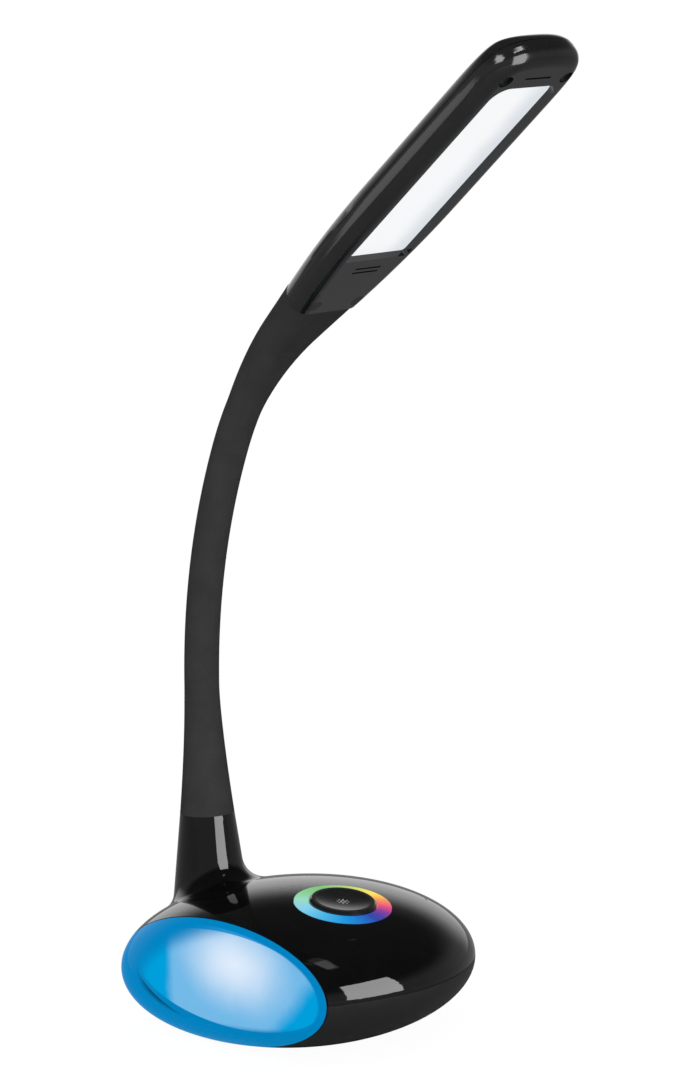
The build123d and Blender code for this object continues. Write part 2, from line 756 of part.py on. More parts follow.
# ==== neck ====
for index in range(hinge_count + 1):
    start, end = neck_span(index, 0, 0)
    with BuildPart() as neck_sleeve:
        if index == hinge_count:
            add(boot_run(start, end))
        else:
            add(round_run(start, end, foot_radius))
        add(round_run(start - slip, end + slip, lambda s: conduit_radius + slip), mode=Mode.SUBTRACT)
        if index == 0:
            with BuildSketch(neck_plane(0)):
                Circle(ferrule_flange_dia / 2 + slip)
            extrude(amount=ferrule_flange_thick + slip, mode=Mode.SUBTRACT)
        if index == hinge_count:
            with BuildSketch(neck_plane(neck_length)):
                Circle(head_ferrule_radius + slip)
            extrude(amount=-head_ferrule_out - slip, mode=Mode.SUBTRACT)
    export(fitted_between_balls(neck_sleeve.part, index, start, end), f"neck_sleeve_{index + 1}")

    start, end = neck_span(index, base_ferrule_long, head_ferrule_in + head_conduit_end)
    with BuildPart() as neck_conduit:
        add(round_run(start, end, lambda s: conduit_radius))
        add(round_run(start - slip, end + slip, lambda s: conduit_bore / 2), mode=Mode.SUBTRACT)
    export(fitted_between_balls(neck_conduit.part, index, start, end), f"neck_conduit_{index + 1}")

    start, end = neck_span(index, lead_tail, head_ferrule_in + head_conduit_end + head_lead_end)
    with BuildPart() as neck_lead:
        add(round_run(start, end, lambda s: lead_dia / 2))
    export(fitted_between_balls(neck_lead.part, index, start, end), f"neck_lead_{index + 1}")

# ==== head ====
# the head's own plane: x runs from the neck to the tip, y to +Y, z from the lit side up
joint = neck_plane(neck_length)
head_up = Vector(-joint.z_dir.Z, 0, joint.z_dir.X)
head_plane = Plane(
    origin=joint.origin + joint.z_dir * opening_setback - head_up * head_mid,
    x_dir=joint.z_dir,
    z_dir=head_up,
)
opening_mid = opening_long / 2
screw_spots = [
    (edge + along, side * across, sink)
    for edge, (along, across), sink in (
        (0, near_screw, near_plug_sink),
        (opening_long, far_screw, far_plug_sink),
    )
    for side in (-1, 1)
]


def head_outline(inset, end_inset):
    # face of the head's outline, drawn in by inset
    half = head_half - inset
    joint_half = head_joint_wide / 2 - inset
    near = end_inset - opening_setback
    nose = tip_at - tip_sweep
    tip = tip_at - inset
    full = tip_fullness
    bulge = nose + full * (tip - nose)
    with BuildSketch(mode=Mode.PRIVATE) as face:
        with BuildLine():
            Line((near, -joint_half), (near, joint_half))
            TangentArc((shoulder_end, half), (near, joint_half), tangent=(-1, 0))
            Line((shoulder_end, half), (nose, half))
            Bezier((nose, half), (bulge, half), (tip, full * half), (tip, 0))
            Bezier((tip, 0), (tip, -full * half), (bulge, -half), (nose, -half))
            Line((nose, -half), (shoulder_end, -half))
            TangentArc((shoulder_end, -half), (near, -joint_half), tangent=(-1, 0))
        make_face()
    return face.sketch


def head_form(inset, end_inset):
    # the closed head, drawn in by inset, with round flanks and tip
    with BuildPart() as form:
        with BuildSketch(head_plane.offset(inset)):
            add(head_outline(inset, end_inset))
        extrude(amount=head_thick - 2 * inset)
        upwards = Axis(head_plane.origin, head_plane.z_dir)
        lower_rim = form.faces().sort_by(upwards)[0].edges().filter_by(Axis.Y, reverse=True)
        fillet(lower_rim, lower_round - inset)
        upper_rim = form.faces().sort_by(upwards)[-1].edges().filter_by(Axis.Y, reverse=True)
        fillet(upper_rim, upper_round - inset)
    return form.part


def panel_outline(margin):
    # face of the lit opening, grown by margin on all sides
    with BuildSketch(mode=Mode.PRIVATE) as face:
        with Locations((opening_mid, 0)):
            Rectangle(opening_long + 2 * margin, opening_wide + 2 * margin)
        ends = face.vertices().group_by(Axis.X)
        fillet(ends[0], near_corner + margin)
        ends = face.vertices().group_by(Axis.X)
        fillet(ends[-1], far_corner + margin)
    return face.sketch


def ferrule_way(radius, near, far):
    # a round bar on the head's middle line
    with BuildPart() as form:
        with BuildSketch(joint.offset(near)):
            Circle(radius)
        extrude(amount=far - near)
    return form.part


screw_seat = plug_bottom + screw_head_thick
guide_bottom = frame_floor + panel_thick + layer_gap
sheet_bottom = guide_bottom + guide_thick + layer_gap
spreader_bottom = sheet_bottom + sheet_thick + layer_gap
spreader_top = spreader_bottom + spreader_thick
guide_half = opening_wide / 2 + panel_lap - panel_led_thick - layer_gap
cover_under = head_thick - cover_wall


def at_screw_spots(radius):
    # circles at the four cover screws, drawn in the sketch that calls it
    for along, across, sink in screw_spots:
        with Locations((along, across)):
            Circle(radius)


clamp_spots = ((clamp_at, -clamp_screw_spread / 2), (clamp_at, clamp_screw_spread / 2))

with BuildPart() as head_lower_frame:
    add(head_form(0, 0))
    with BuildSketch(head_plane.offset(frame_floor)):
        add(head_outline(frame_wall, end_wall))
    extrude(amount=head_thick, mode=Mode.SUBTRACT)
    split(bisect_by=head_plane.offset(cover_seam), keep=Keep.BOTTOM)
    # bosses for the cover screws
    with BuildSketch(head_plane.offset(frame_floor / 2)):
        at_screw_spots(boss_dia / 2)
    extrude(amount=cover_seam - frame_floor / 2)
    add(head_form(0, 0), mode=Mode.INTERSECT)
    with BuildSketch(head_plane):
        at_screw_spots(plug_dia / 2 + slip)
    extrude(amount=plug_bottom, mode=Mode.SUBTRACT)
    with BuildSketch(head_plane):
        at_screw_spots(screw_head_dia / 2 + slip)
    extrude(amount=screw_seat, mode=Mode.SUBTRACT)
    with BuildSketch(head_plane):
        at_screw_spots(screw_dia / 2 + slip)
    extrude(amount=cover_seam, mode=Mode.SUBTRACT)
    # the lit opening and the vent slots
    with BuildSketch(head_plane):
        add(panel_outline(0))
        for along in (*near_slots, opening_long + far_slot):
            with Locations((along, 0)):
                SlotOverall(slot_long, slot_wide, rotation=90)
    extrude(amount=frame_floor, mode=Mode.SUBTRACT)
    # block under the clamp
    with BuildSketch(head_plane.offset(frame_floor / 2)):
        with Locations((clamp_at, 0)):
            Rectangle(clamp_long, clamp_wide)
    extrude(amount=head_mid - frame_floor / 2 - layer_gap)
    with BuildSketch(head_plane.offset(frame_floor)):
        with Locations(*clamp_spots):
            Circle(clamp_screw_dia / 2 + slip)
    extrude(amount=head_mid, mode=Mode.SUBTRACT)
    add(ferrule_way(head_ferrule_radius + slip, -end_wall, head_ferrule_in + slip), mode=Mode.SUBTRACT)
export(head_lower_frame.part, "head_lower_frame")

# posts for the cover screws and ribs that press the panel stack down
with BuildPart() as cover_posts:
    with BuildSketch(head_plane.offset(cover_seam)):
        at_screw_spots(boss_dia / 2)
    extrude(amount=head_thick - cover_seam)
    with BuildSketch(head_plane.offset(cover_seam)):
        at_screw_spots(screw_dia / 2 + slip)
    extrude(amount=screw_seat + screw_long + slip - cover_seam, mode=Mode.SUBTRACT)
    with BuildSketch(head_plane.offset(spreader_top + layer_gap)):
        with Locations((opening_mid, 0)):
            with GridLocations(rib_pitch, 1, rib_count, 1):
                Rectangle(rib_thick, opening_wide)
    extrude(amount=head_thick - spreader_top - layer_gap)
    add(head_form(cover_wall / 2, end_wall / 2), mode=Mode.INTERSECT)

# fine groove along the seam of the head, at the cover's lower edge
with BuildPart() as cover_groove:
    with BuildSketch(head_plane.offset(cover_seam)):
        add(head_outline(-cover_wall, 0))
    extrude(amount=seam_groove)
    add(head_form(seam_groove, 0), mode=Mode.SUBTRACT)

with BuildPart() as head_top_cover:
    add(head_form(0, 0))
    add(head_form(cover_wall, end_wall), mode=Mode.SUBTRACT)
    split(bisect_by=head_plane.offset(cover_seam), keep=Keep.TOP)
    add(cover_groove.part, mode=Mode.SUBTRACT)
    add(cover_posts.part)
    add(head_lower_frame.part, mode=Mode.SUBTRACT)
    add(ferrule_way(head_ferrule_radius + slip, -end_wall, end_wall + slip), mode=Mode.SUBTRACT)
export(head_top_cover.part, "head_top_cover")

with BuildPart() as panel_diffuser:
    with BuildSketch(head_plane.offset(frame_floor)):
        add(panel_outline(panel_lap))
    extrude(amount=panel_thick)
export(panel_diffuser.part, "panel_diffuser")


def stack_plate(bottom, thick):
    # plate of the panel stack, as large as the light guide
    with BuildPart() as form:
        with BuildSketch(head_plane.offset(bottom)):
            with Locations((opening_mid, 0)):
                Rectangle(opening_long, 2 * guide_half)
        extrude(amount=thick)
    return form.part


export(stack_plate(guide_bottom, guide_thick), "light_guide")
export(stack_plate(sheet_bottom, sheet_thick), "reflector_sheet")
export(stack_plate(spreader_bottom, spreader_thick), "heat_spreader")

strip_face = guide_half + layer_gap + panel_led_thick
with BuildPart() as led_strips:
    with BuildSketch(head_plane.offset(guide_bottom)):
        for side in (-1, 1):
            with Locations((opening_mid, side * (strip_face + strip_thick / 2))):
                Rectangle(strip_long, strip_thick)
    extrude(amount=guide_thick)
export(led_strips.part, "led_strips")

with BuildPart() as panel_leds:
    with BuildSketch(head_plane.offset(guide_bottom + (guide_thick - panel_led_high) / 2)):
        for side in (-1, 1):
            with Locations((opening_mid, side * (strip_face - panel_led_thick / 2))):
                with GridLocations(strip_long / panel_led_count, 1, panel_led_count, 1):
                    Rectangle(panel_led_long, panel_led_thick)
    extrude(amount=panel_led_high)
export(panel_leds.part, "panel_leds")

with BuildPart() as head_ferrule:
    add(ferrule_way(head_ferrule_radius, -head_ferrule_out, head_ferrule_in))
    add(ferrule_way(conduit_radius + slip, -head_ferrule_out, head_ferrule_in), mode=Mode.SUBTRACT)
export(head_ferrule.part, "head_ferrule")

with BuildPart() as head_clamp:
    with BuildSketch(head_plane.offset(head_mid + layer_gap)):
        with Locations((clamp_at, 0)):
            Rectangle(clamp_long, clamp_wide)
    extrude(amount=cover_under - head_mid - 3 * layer_gap)
    with BuildSketch(head_plane.offset(clamp_seat)):
        with Locations(*clamp_spots):
            Circle(clamp_screw_head_dia / 2 + slip)
    extrude(amount=head_thick, mode=Mode.SUBTRACT)
    with BuildSketch(head_plane):
        with Locations(*clamp_spots):
            Circle(clamp_screw_dia / 2 + slip)
    extrude(amount=head_thick, mode=Mode.SUBTRACT)
    add(ferrule_way(head_ferrule_radius + slip, 0, head_ferrule_in + slip), mode=Mode.SUBTRACT)
export(head_clamp.part, "head_clamp")

with BuildPart() as clamp_screws:
    for x, y in clamp_spots:
        spot = shifted(head_plane.offset(clamp_seat + clamp_screw_head_thick), x, y)
        spot = Plane(origin=spot.origin, x_dir=spot.x_dir, z_dir=-spot.z_dir)
        add(screw(clamp_screw_head_dia, clamp_screw_head_thick, clamp_screw_dia, clamp_screw_long, spot))
export(clamp_screws.part, "clamp_screws")

with BuildPart() as head_screws:
    for along, across, sink in screw_spots:
        spot = shifted(head_plane.offset(plug_bottom), along, across)
        add(screw(screw_head_dia, screw_head_thick, screw_dia, screw_long, spot))
export(head_screws.part, "head_screws")

with BuildPart() as screw_plugs:
    for along, across, sink in screw_spots:
        with BuildSketch(shifted(head_plane.offset(sink), along, across)):
            Circle(plug_dia / 2)
        extrude(amount=plug_bottom - sink)
    add(head_form(0, 0), mode=Mode.INTERSECT)
export(screw_plugs.part, "screw_plugs")
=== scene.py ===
# Gooseneck desk lamp: finishes for the imported frame, one skin over the neck at rest, light and camera

import json
import math

import bpy
import numpy as np
from mathutils import Matrix, Vector


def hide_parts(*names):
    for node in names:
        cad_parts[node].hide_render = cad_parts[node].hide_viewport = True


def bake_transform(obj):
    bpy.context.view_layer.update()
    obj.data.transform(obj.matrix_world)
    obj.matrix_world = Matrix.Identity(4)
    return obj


mm = 0.001
black = (0.0, 0.0, 0.0)

print("loading the frame")
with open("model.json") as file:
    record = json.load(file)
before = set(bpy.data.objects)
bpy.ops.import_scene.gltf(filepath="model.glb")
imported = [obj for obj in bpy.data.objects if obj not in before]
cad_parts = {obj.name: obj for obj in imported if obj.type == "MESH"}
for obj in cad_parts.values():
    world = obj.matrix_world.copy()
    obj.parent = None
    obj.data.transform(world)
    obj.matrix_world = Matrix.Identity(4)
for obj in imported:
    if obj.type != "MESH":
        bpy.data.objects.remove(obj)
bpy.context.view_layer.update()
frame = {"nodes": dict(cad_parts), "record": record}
cadNodes = frame["nodes"]
scene = bpy.context.scene


class Value:
    # a number in a node tree; arithmetic on it adds Math nodes
    def __init__(self, tree, socket):
        self.tree = tree
        self.socket = socket

    def __add__(self, other):
        return self.tree.math("ADD", self, other)

    def __radd__(self, other):
        return self.tree.math("ADD", other, self)

    def __sub__(self, other):
        return self.tree.math("SUBTRACT", self, other)

    def __rsub__(self, other):
        return self.tree.math("SUBTRACT", other, self)

    def __mul__(self, other):
        return self.tree.math("MULTIPLY", self, other)

    def __rmul__(self, other):
        return self.tree.math("MULTIPLY", other, self)

    def __truediv__(self, other):
        return self.tree.math("DIVIDE", self, other)

    def __rtruediv__(self, other):
        return self.tree.math("DIVIDE", other, self)

    def __abs__(self):
        return self.tree.math("ABSOLUTE", self)

    def ramp(self, low, high):
        # eases from 0 at low to 1 at high, or from 1 to 0 where low is the larger
        return self.tree.read("ShaderNodeMapRange", {"interpolation_type": "SMOOTHSTEP"},
                              {0: self, 1: low, 2: high, 3: 0.0, 4: 1.0})


class Tree:
    # the nodes of one material or world
    def __init__(self, owner):
        owner.use_nodes = True
        self.nodes = owner.node_tree.nodes
        self.links = owner.node_tree.links
        self.nodes.clear()

    def add(self, kind, settings, sockets):
        # one node: its settings first, then a value or a link for each named or numbered socket
        node = self.nodes.new(kind)
        for key, setting in settings.items():
            if key == "stops":
                ramp = node.color_ramp.elements
                while len(ramp) < len(setting):
                    ramp.new(0.5)
                for stop, (place, colour) in zip(ramp, setting):
                    stop.position = place
                    stop.color = (*colour, 1.0)
            else:
                setattr(node, key, setting)
        for key, given in sockets.items():
            socket = node.inputs[key]
            if isinstance(given, Value):
                self.links.new(given.socket, socket)
            elif isinstance(given, bpy.types.NodeSocket):
                self.links.new(given, socket)
            elif isinstance(given, tuple) and socket.type == "RGBA":
                socket.default_value = (*given, 1.0)
            else:
                socket.default_value = given
        return node

    def read(self, kind, settings, sockets, output=0):
        return Value(self, self.add(kind, settings, sockets).outputs[output])

    def math(self, operation, *values):
        return self.read("ShaderNodeMath", {"operation": operation}, dict(enumerate(values)))

    def mix(self, share, colour, other):
        # colour at share 0, other at share 1
        return self.read("ShaderNodeMix", {"data_type": "RGBA"}, {0: share, 6: colour, 7: other}, 2)

    def place(self):
        # where a point lies on the lamp at rest, in mm
        point = self.add("ShaderNodeTexCoord", {}, {}).outputs["Object"]
        split = self.add("ShaderNodeSeparateXYZ", {}, {0: point})
        return [Value(self, output) * (1.0 / mm) for output in split.outputs]

    def noise(self, size, detail=2.0, stretch=(1.0, 1.0, 1.0)):
        # cloudy values between 0 and 1 with lumps of about size mm
        point = self.add("ShaderNodeTexCoord", {}, {}).outputs["Object"]
        moved = self.add("ShaderNodeMapping", {}, {"Vector": point, "Scale": Vector(stretch)})
        return self.read("ShaderNodeTexNoise", {},
                         {"Vector": moved.outputs[0], "Scale": 1.0 / (size * mm), "Detail": detail})

    def bump(self, height, depth):
        # a normal bent by a height from 0 to 1 that stands for depth mm
        return self.read("ShaderNodeBump", {}, {"Height": height, "Distance": depth * mm, "Strength": 1.0})


def display(red, green, blue):
    # the linear colour that shows as these values out of 255, by the sRGB curve
    return tuple(((value / 255.0 + 0.055) / 1.055) ** 2.4 if value > 10 else value / 3295.0
                 for value in (red, green, blue))


def newMaterial(name, sockets):
    # an empty material with its Principled shader; the maker links more into it
    made = bpy.data.materials.new(name)
    tree = Tree(made)
    shader = tree.add("ShaderNodeBsdfPrincipled", {}, sockets)
    tree.add("ShaderNodeOutputMaterial", {}, {"Surface": shader.outputs[0]})
    return made, tree, shader


def feed(tree, shader, inputs):
    # links what varies over the surface
    for name, given in inputs.items():
        tree.links.new(given.socket, shader.inputs[name])


def feedGlow(tree, shader, look, colour, inputs):
    # a surface that shines in a colour, with a dim plain colour of the same hue under it
    dim = tree.mix(look["base"], black, colour)
    feed(tree, shader, {"Base Color": dim, "Emission Color": colour, **inputs})


print("mixing the finishes")
plainCloud = 12.0           # mm, lumps in the colour and gloss of a finish that names none
toneSpread = (0.25, 0.75)   # where the first colour ends and where the second is full


def mouldedFinish(name, look):
    # plastic, rubber or metal: cloudy colour, uneven gloss and a fine grain
    made, tree, shader = newMaterial(name, {
        "Metallic": look.get("metal", 0.0), "Specular IOR Level": look.get("specular", 0.5),
    })
    cloud = tree.noise(look.get("cloud", plainCloud), 3.0)
    grain = tree.noise(look["grain"], 2.0, look.get("stretch", (1.0, 1.0, 1.0)))
    tone = (cloud * 0.5 + grain * 0.5).ramp(*toneSpread)
    low, high = look["roughness"]
    feed(tree, shader, {
        "Base Color": tree.mix(tone, look["colour"], look["second"]),
        "Roughness": low + (high - low) * cloud,
        "Normal": tree.bump(grain, look["depth"]),
    })
    return made


# grain, cloud and depth are in mm
mouldedLooks = {
    "shell_gloss": {"colour": (0.0025, 0.0025, 0.003), "second": (0.004, 0.004, 0.0045), "cloud": 30.0,
                    "grain": 6.0, "roughness": (0.02, 0.06), "depth": 0.0006},
    "shell_satin": {"colour": (0.022, 0.022, 0.0225), "second": (0.029, 0.029, 0.03), "grain": 0.35,
                    "roughness": (0.36, 0.46), "depth": 0.02, "specular": 0.11},
    "foot_rubber": {"colour": (0.012, 0.012, 0.012), "second": (0.02, 0.02, 0.02), "grain": 0.5,
                    "roughness": (0.75, 0.9), "depth": 0.05},
    "ballast_iron": {"colour": (0.05, 0.05, 0.052), "second": (0.09, 0.088, 0.085), "grain": 1.4,
                     "roughness": (0.55, 0.75), "depth": 0.12, "metal": 0.6},
    "steel": {"colour": (0.55, 0.55, 0.56), "second": (0.68, 0.68, 0.69), "grain": 0.4,
              "roughness": (0.22, 0.38), "depth": 0.01, "metal": 1.0},
    "brass": {"colour": (0.66, 0.47, 0.2), "second": (0.78, 0.6, 0.3), "grain": 0.5,
              "roughness": (0.2, 0.34), "depth": 0.01, "metal": 1.0},
    "aluminium": {"colour": (0.7, 0.7, 0.72), "second": (0.82, 0.82, 0.83), "grain": 0.5,
                  "stretch": (0.1, 1.0, 0.1), "roughness": (0.3, 0.45), "depth": 0.01, "metal": 1.0},
    "gasket": {"colour": (0.0, 0.035, 0.075), "second": (0.0, 0.05, 0.1), "grain": 0.6,
               "roughness": (0.5, 0.65), "depth": 0.02},
    "sleeve_soft": {"colour": (0.042, 0.042, 0.0423), "second": (0.06, 0.06, 0.0605), "grain": 0.45,
                    "roughness": (0.75, 0.88), "depth": 0.05, "specular": 0.012},
    "head_matte": {"colour": (0.007, 0.007, 0.0072), "second": (0.0105, 0.0105, 0.0108), "grain": 2.0,
                   "roughness": (0.1, 0.16), "depth": 0.003},
    "guide_clear": {"colour": (0.8, 0.86, 0.86), "second": (0.88, 0.92, 0.92), "grain": 3.0,
                    "roughness": (0.05, 0.1), "depth": 0.002},
    "board_green": {"colour": (0.02, 0.12, 0.06), "second": (0.035, 0.17, 0.09), "grain": 0.8,
                    "roughness": (0.3, 0.45), "depth": 0.03},
    "tray_white": {"colour": (0.78, 0.8, 0.8), "second": (0.85, 0.86, 0.86), "grain": 0.6,
                   "roughness": (0.5, 0.62), "depth": 0.01},
    "switch_black": {"colour": (0.015, 0.015, 0.016), "second": (0.025, 0.025, 0.026), "grain": 0.4,
                     "roughness": (0.4, 0.55), "depth": 0.02},
    "lead_sheath": {"colour": (0.015, 0.015, 0.015), "second": (0.024, 0.024, 0.024), "grain": 0.5,
                    "roughness": (0.45, 0.6), "depth": 0.02},
    "plug_rubber": {"colour": (0.008, 0.008, 0.009), "second": (0.014, 0.014, 0.015), "grain": 0.4,
                    "roughness": (0.45, 0.6), "depth": 0.02},
}
finishes = {name: mouldedFinish(name, look) for name, look in mouldedLooks.items()}


# the lit panel of the head: opal, a little greyer towards its +Y edge
panelLook = {
    "white": display(250, 252, 254), "edge": display(228, 233, 238), "edgeAt": (6.0, 20.0),
    "cloud": 18.0, "waver": 6.0, "base": 0.06, "strength": 0.9, "roughness": 0.35,
}


def litPanelFinish(look):
    # opal plastic that shines, with a wavering border between its two whites
    made, tree, shader = newMaterial("diffuser", {
        "Emission Strength": look["strength"], "Roughness": look["roughness"],
    })
    y = tree.place()[1]
    wave = tree.noise(look["cloud"]) * look["waver"]
    colour = tree.mix((y + wave).ramp(*look["edgeAt"]), look["white"], look["edge"])
    feedGlow(tree, shader, look, colour, {})
    return made


finishes["diffuser"] = litPanelFinish(panelLook)


# the small lamps inside
ledLook = {
    "phosphor": (0.9, 0.8, 0.3), "body": (0.85, 0.85, 0.82), "spots": 1.5, "spotEdge": (0.4, 0.6),
    "strength": 0.4, "roughness": 0.3,
}


def ledFinish(look):
    # pale bodies with yellow spots
    made, tree, shader = newMaterial("led", {
        "Emission Strength": look["strength"], "Roughness": look["roughness"],
    })
    spots = tree.noise(look["spots"])
    colour = tree.mix(spots.ramp(*look["spotEdge"]), look["body"], look["phosphor"])
    feed(tree, shader, {"Base Color": colour, "Emission Color": colour})
    return made


finishes["led"] = ledFinish(ledLook)


# the glow behind the window: a white spot that fades through pale blue into azure
glowLook = {
    "hotAt": (4.5, 39.0), "hotSize": (38.0, 24.0),      # mm along x and z
    "hotEdge": 1.15, "hotWaver": 0.2,                   # in shares of that size
    "leftEdge": (-43.0, -35.0), "leftWaver": 6.0,       # where the azure on the left turns pale, along x
    "cornerEdge": (24.0, 9.0), "cornerWaver": 8.0,      # the same in the lower right corner, along x - z
    "hot": display(228, 238, 250), "pale": display(118, 185, 228), "azure": display(0, 157, 215),
    "cloud": 14.0, "base": 0.1, "strength": 1.02, "roughness": 0.5,
}


def glowPanelFinish(look):
    # azure and pale areas with wavering borders, and over them the hot ellipse
    made, tree, shader = newMaterial("glow_panel", {
        "Emission Strength": look["strength"], "Roughness": look["roughness"], "Specular IOR Level": 0.0,
    })
    x, y, z = tree.place()
    cloud = tree.noise(look["cloud"], 3.0) - 0.5
    across = (x - look["hotAt"][0]) / look["hotSize"][0]
    up = (z - look["hotAt"][1]) / look["hotSize"][1]
    far = tree.math("SQRT", across * across + up * up) + cloud * look["hotWaver"]
    left = (x + cloud * look["leftWaver"]).ramp(*look["leftEdge"])
    corner = (x - z + cloud * look["cornerWaver"]).ramp(*look["cornerEdge"])
    colour = tree.mix(left * corner, look["azure"], look["pale"])
    colour = tree.mix(far.ramp(look["hotEdge"], 0.0), colour, look["hot"])
    feedGlow(tree, shader, look, colour, {})
    return made


finishes["glow_panel"] = glowPanelFinish(glowLook)


# the tray round the glow panel, seen through the tinted cap: the light of the lamps inside falling on it is
# painted as a blue glow
trayPaintedLightLook = {
    "top": display(45, 155, 218), "low": display(0, 128, 188), "at": (12.0, 50.0),
    "cloud": 9.0, "waver": 6.0, "base": 0.05, "strength": 0.97, "roughness": 0.5,
}


def trayPaintedLightFinish(look):
    # painted light: from one blue at the bottom to a lighter one at the top
    made, tree, shader = newMaterial("tray_painted_light", {
        "Emission Strength": look["strength"], "Roughness": look["roughness"], "Specular IOR Level": 0.0,
    })
    z = tree.place()[2]
    wave = tree.noise(look["cloud"]) * look["waver"]
    feedGlow(tree, shader, look, tree.mix((z + wave).ramp(*look["at"]), look["low"], look["top"]), {})
    return made


# the clear blue cap: seen straight on it is clear, at a slant and along its cut edge it is full azure
lensLook = {
    "clear": 0.06, "slant": (0.46, 0.66),               # alpha where it is clear; where a slant fills it
    "edgeAt": (-49.6, -48.6),                           # mm along y, where the cut edge starts
    "tint": display(1, 131, 194), "low": display(0, 126, 184), "lowAt": (6.0, 26.0),
    "cloud": 14.0, "roughness": (0.02, 0.05), "specular": 0.004, "base": 0.04, "strength": 0.98,
}


def lensFinish(look):
    # a glowing tint whose alpha grows with the slant
    made, tree, shader = newMaterial("lens_tint", {
        "Emission Strength": look["strength"], "Specular IOR Level": look["specular"],
    })
    x, y, z = tree.place()
    cloud = tree.noise(look["cloud"])
    colour = tree.mix(z.ramp(*look["lowAt"]), look["low"], look["tint"])
    facing = tree.read("ShaderNodeLayerWeight", {}, {"Blend": 0.5}, "Facing")
    full = tree.math("MAXIMUM", facing.ramp(*look["slant"]), y.ramp(*look["edgeAt"]))
    low, high = look["roughness"]
    feedGlow(tree, shader, look, colour, {
        "Roughness": low + (high - low) * cloud, "Alpha": look["clear"] + (1.0 - look["clear"]) * full,
    })
    return made


finishes["lens_tint"] = lensFinish(lensLook)


# the ring's colours, in degrees round its middle from +X towards +Y
ringLook = {
    "middle": (31.0, 0.0), "cloud": 5.0, "roughness": (0.2, 0.35), "base": 0.25, "strength": 0.85,
    "colours": ((0, display(40, 70, 170)), (12, display(75, 60, 160)), (28, display(130, 60, 150)),
                (45, display(228, 62, 120)), (70, display(240, 140, 60)), (92, display(250, 215, 25)),
                (118, display(195, 210, 50)), (140, display(130, 190, 70)), (168, display(90, 178, 92)),
                (196, display(120, 200, 130)), (225, display(150, 215, 192)), (255, display(130, 206, 235)),
                (285, display(75, 180, 228)), (315, display(25, 150, 220)), (342, display(25, 110, 200)),
                (360, display(40, 70, 170))),
}


def ringFinish(look):
    # the colours run along a ramp by the angle round the ring's middle
    made, tree, shader = newMaterial("ring_colour", {"Emission Strength": look["strength"]})
    x, y, z = tree.place()
    turn = tree.math("ARCTAN2", y - look["middle"][1], x - look["middle"][0]) / (2.0 * math.pi)
    stops = [(angle / 360.0, colour) for angle, colour in look["colours"]]
    ramp = tree.add("ShaderNodeValToRGB", {"stops": stops}, {"Fac": tree.math("FRACT", turn + 1.0)})
    low, high = look["roughness"]
    feedGlow(tree, shader, look, Value(tree, ramp.outputs["Color"]), {
        "Roughness": low + (high - low) * tree.noise(look["cloud"]),
    })
    return made


finishes["ring_colour"] = ringFinish(ringLook)


# the button: gloss black with a small printed sun
buttonLook = {
    "middle": (31.0, 0.0), "colour": (0.009, 0.009, 0.0095), "second": (0.014, 0.014, 0.015),
    "ink": (0.62, 0.62, 0.62), "inkFrom": (60.0, 62.0),         # mm of height, so that no side is printed
    "disc": 1.05, "discLine": 0.42, "rays": (1.85, 2.9), "rayWide": 0.42, "count": 8, "soft": 0.12,
    "cloud": 4.0, "roughness": (0.16, 0.24), "inkRougher": 0.3,
}


def buttonFinish(look):
    # the sun is a circle line and rays, each a band of distances with soft edges
    made, tree, shader = newMaterial("button_gloss", {})
    x, y, z = tree.place()
    across, along = y - look["middle"][1], x - look["middle"][0]
    far = tree.math("SQRT", across * across + along * along)
    soft = look["soft"]

    def band(value, middle, width):
        return abs(value - middle).ramp(width / 2.0 + soft, width / 2.0 - soft)

    # the angle to the nearest ray times the radius is the distance from it
    turn = tree.math("ARCTAN2", across, along) * (look["count"] / (2.0 * math.pi)) + look["count"]
    aside = (tree.math("FRACT", turn + 0.5) - 0.5) * (2.0 * math.pi / look["count"]) * far
    inner, outer = look["rays"]
    ray = band(aside, 0.0, look["rayWide"]) * band(far, (inner + outer) / 2.0, outer - inner)
    ink = tree.math("MAXIMUM", ray, band(far, look["disc"], look["discLine"]))
    ink = ink * z.ramp(*look["inkFrom"])
    cloud = tree.noise(look["cloud"])
    tone = tree.mix(cloud, look["colour"], look["second"])
    low, high = look["roughness"]
    feed(tree, shader, {
        "Base Color": tree.mix(ink, tone, look["ink"]),
        "Roughness": low + (high - low) * cloud + ink * look["inkRougher"],
    })
    return made


finishes["button_gloss"] = buttonFinish(buttonLook)

for row in frame["record"]["subparts"]:
    node = cadNodes[row["node"]]
    node.data.materials.clear()
    node.data.materials.append(finishes[row["material_slot"]])
# the tray's own white is swapped for painted light from the lamps inside
cadNodes["glow_tray"].data.materials[0] = trayPaintedLightFinish(trayPaintedLightLook)


creaseAngle = 32.0      # degrees, from which an edge shows as sharp


def meshPiece(name, corners, faces, slot):
    # a smooth-shaded piece from arrays of corners (in mm) and faces
    mesh = bpy.data.meshes.new(name)
    mesh.from_pydata((corners * mm).tolist(), [], faces.tolist())
    mesh.update()
    piece = bpy.data.objects.new(name, mesh)
    scene.collection.objects.link(piece)
    mesh.shade_smooth()
    mesh.set_sharp_from_angle(angle=math.radians(creaseAngle))
    mesh.materials.append(finishes[slot])
    return piece


def closedGrid(rows, columns):
    # faces of a grid that closes on itself both ways, like a ring's skin
    row, column = np.meshgrid(np.arange(rows), np.arange(columns), indexing="ij")
    nextRow, nextColumn = (row + 1) % rows, (column + 1) % columns
    corners = [row * columns + column, row * columns + nextColumn,
               nextRow * columns + nextColumn, nextRow * columns + column]
    return np.stack(corners, axis=-1).reshape(-1, 4)


print("drawing the skin over the neck")
